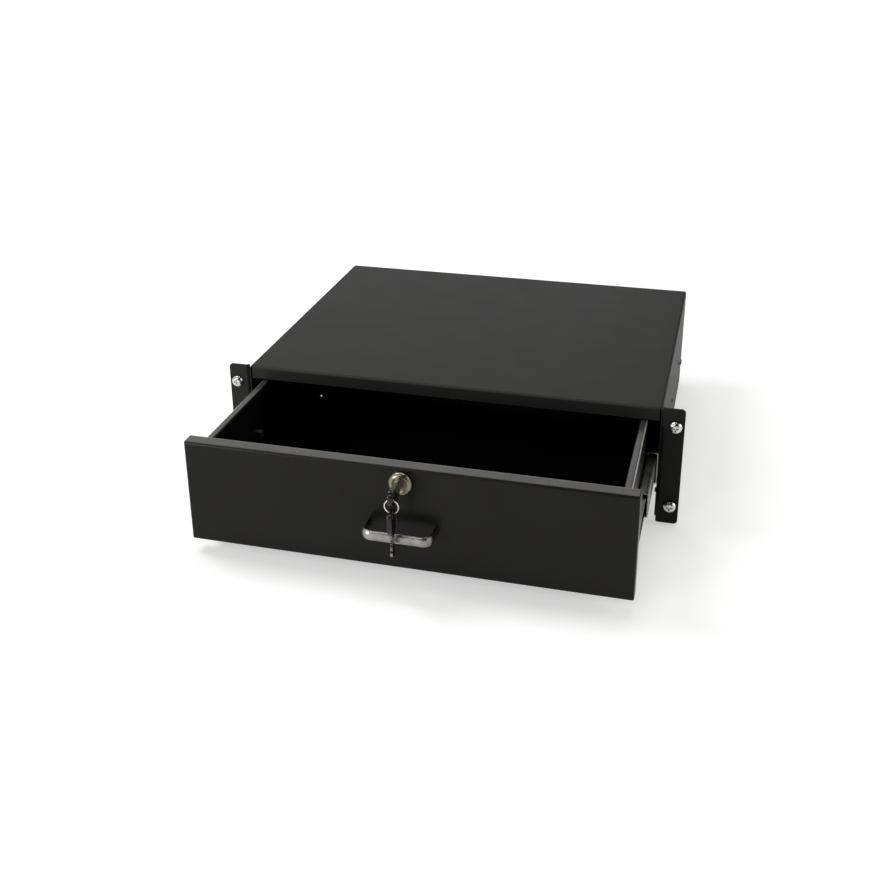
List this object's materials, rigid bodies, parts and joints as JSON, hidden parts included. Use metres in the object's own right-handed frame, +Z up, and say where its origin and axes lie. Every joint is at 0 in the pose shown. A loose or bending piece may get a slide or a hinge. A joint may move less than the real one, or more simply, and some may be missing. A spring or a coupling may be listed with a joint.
{
  "type": "sliding rack drawer",
  "caption": "Lockable 3U rack drawer: black sheet steel case with rack ears, drawer on ball bearing slides, bow handle, cam lock and keys.",
  "frame": {"origin": "middle of the four rack screws, on the rear face of the rack ears where they meet the rack posts", "axes": "+Y goes back into the rack along the screws and the drawer's travel, +Z is up, +X is to the right seen from the front"},
  "size_m": [0.4826, 0.5565, 0.128],
  "materials": {
    "powder_coat": "fine-textured black powder coat on steel sheet",
    "zinc_steel": "zinc plated",
    "cage_steel": "zinc plated strip",
    "ball_steel": "polished",
    "rivet_steel": "black zinc",
    "bright_screw": "bright nickel plated",
    "black_nylon": "moulded",
    "satin_handle": "satin",
    "lock_nickel": "warm nickel plated die casting",
    "key_nickel": "nickel plated",
    "key_plastic": "moulded"
  },
  "bodies": {
    "case": {"case_cover": "powder_coat", "rear_panel": "powder_coat", "rear_panel_rivets": "rivet_steel", "right_rack_ear": "powder_coat", "left_rack_ear": "powder_coat", "rack_ear_rivets": "rivet_steel", "rack_screws": "bright_screw", "right_cabinet_rail": "zinc_steel", "left_cabinet_rail": "zinc_steel", "cabinet_rail_screws": "zinc_steel", "rail_bumpers": "black_nylon"},
    "right_middle_rail": {"right_middle_rail": "zinc_steel"},
    "left_middle_rail": {"left_middle_rail": "zinc_steel"},
    "right_outer_cage": {"right_outer_ball_cage": "cage_steel", "right_outer_balls": "ball_steel"},
    "left_outer_cage": {"left_outer_ball_cage": "cage_steel", "left_outer_balls": "ball_steel"},
    "right_inner_cage": {"right_inner_ball_cage": "cage_steel", "right_inner_balls": "ball_steel"},
    "left_inner_cage": {"left_inner_ball_cage": "cage_steel", "left_inner_balls": "ball_steel"},
    "drawer": {"right_drawer_rail": "zinc_steel", "left_drawer_rail": "zinc_steel", "drawer_rail_screws": "zinc_steel", "drawer_rail_nuts": "zinc_steel", "drawer_box": "powder_coat", "drawer_back": "powder_coat", "drawer_front": "powder_coat", "front_panel_nuts": "zinc_steel", "handle": "satin_handle", "handle_nuts": "zinc_steel", "handle_washers": "zinc_steel", "lock_body": "lock_nickel", "lock_nut": "lock_nickel"},
    "lock_plug": {"lock_plug": "lock_nickel", "lock_cam": "zinc_steel", "cam_screw": "zinc_steel"},
    "key": {"key_blade": "key_nickel", "key_bow": "key_plastic"},
    "key_ring": {"key_ring": "key_nickel"},
    "spare_key": {"spare_key_blade": "key_nickel", "spare_key_bow": "key_plastic"}
  },
  "joints": [
    {"name": "drawer_slide", "type": "slide", "parent": "case", "child": "drawer", "axis": [0, -1, 0], "range_m": [-0.154, 0.146]},
    {"name": "right_middle_rail_slide", "type": "slide", "parent": "case", "child": "right_middle_rail", "axis": [0, -1, 0], "range_m": [-0.077, 0.073]},
    {"name": "right_outer_cage_slide", "type": "slide", "parent": "case", "child": "right_outer_cage", "axis": [0, -1, 0], "range_m": [-0.0385, 0.0365]},
    {"name": "right_inner_cage_slide", "type": "slide", "parent": "case", "child": "right_inner_cage", "axis": [0, -1, 0], "range_m": [-0.1155, 0.1095]},
    {"name": "left_middle_rail_slide", "type": "slide", "parent": "case", "child": "left_middle_rail", "axis": [0, -1, 0], "range_m": [-0.077, 0.073]},
    {"name": "left_outer_cage_slide", "type": "slide", "parent": "case", "child": "left_outer_cage", "axis": [0, -1, 0], "range_m": [-0.0385, 0.0365]},
    {"name": "left_inner_cage_slide", "type": "slide", "parent": "case", "child": "left_inner_cage", "axis": [0, -1, 0], "range_m": [-0.1155, 0.1095]},
    {"name": "lock_turn", "type": "hinge", "parent": "drawer", "child": "lock_plug", "pos_m": [0, -0.1685, 0.041], "axis": [0, 1, 0], "range_deg": [0, 90]},
    {"name": "key_pull", "type": "slide", "parent": "lock_plug", "child": "key", "axis": [0, -1, 0], "range_m": [0, 0.03]},
    {"name": "key_ring_swing", "type": "hinge", "parent": "key", "child": "key_ring", "pos_m": [0, -0.1985, 0.03946], "axis": [1, 0, 0], "range_deg": [-45, 0]},
    {"name": "spare_key_swing", "type": "hinge", "parent": "key_ring", "child": "spare_key", "pos_m": [0, -0.1985, 0.02666], "axis": [1, 0, 0], "range_deg": [-30, 0]}
  ],
  "couplings": [
    {"joint": "right_middle_rail_slide", "follows": "drawer_slide", "ratio": 0.5},
    {"joint": "right_outer_cage_slide", "follows": "drawer_slide", "ratio": 0.25},
    {"joint": "right_inner_cage_slide", "follows": "drawer_slide", "ratio": 0.75},
    {"joint": "left_middle_rail_slide", "follows": "drawer_slide", "ratio": 0.5},
    {"joint": "left_outer_cage_slide", "follows": "drawer_slide", "ratio": 0.25},
    {"joint": "left_inner_cage_slide", "follows": "drawer_slide", "ratio": 0.75}
  ]
}
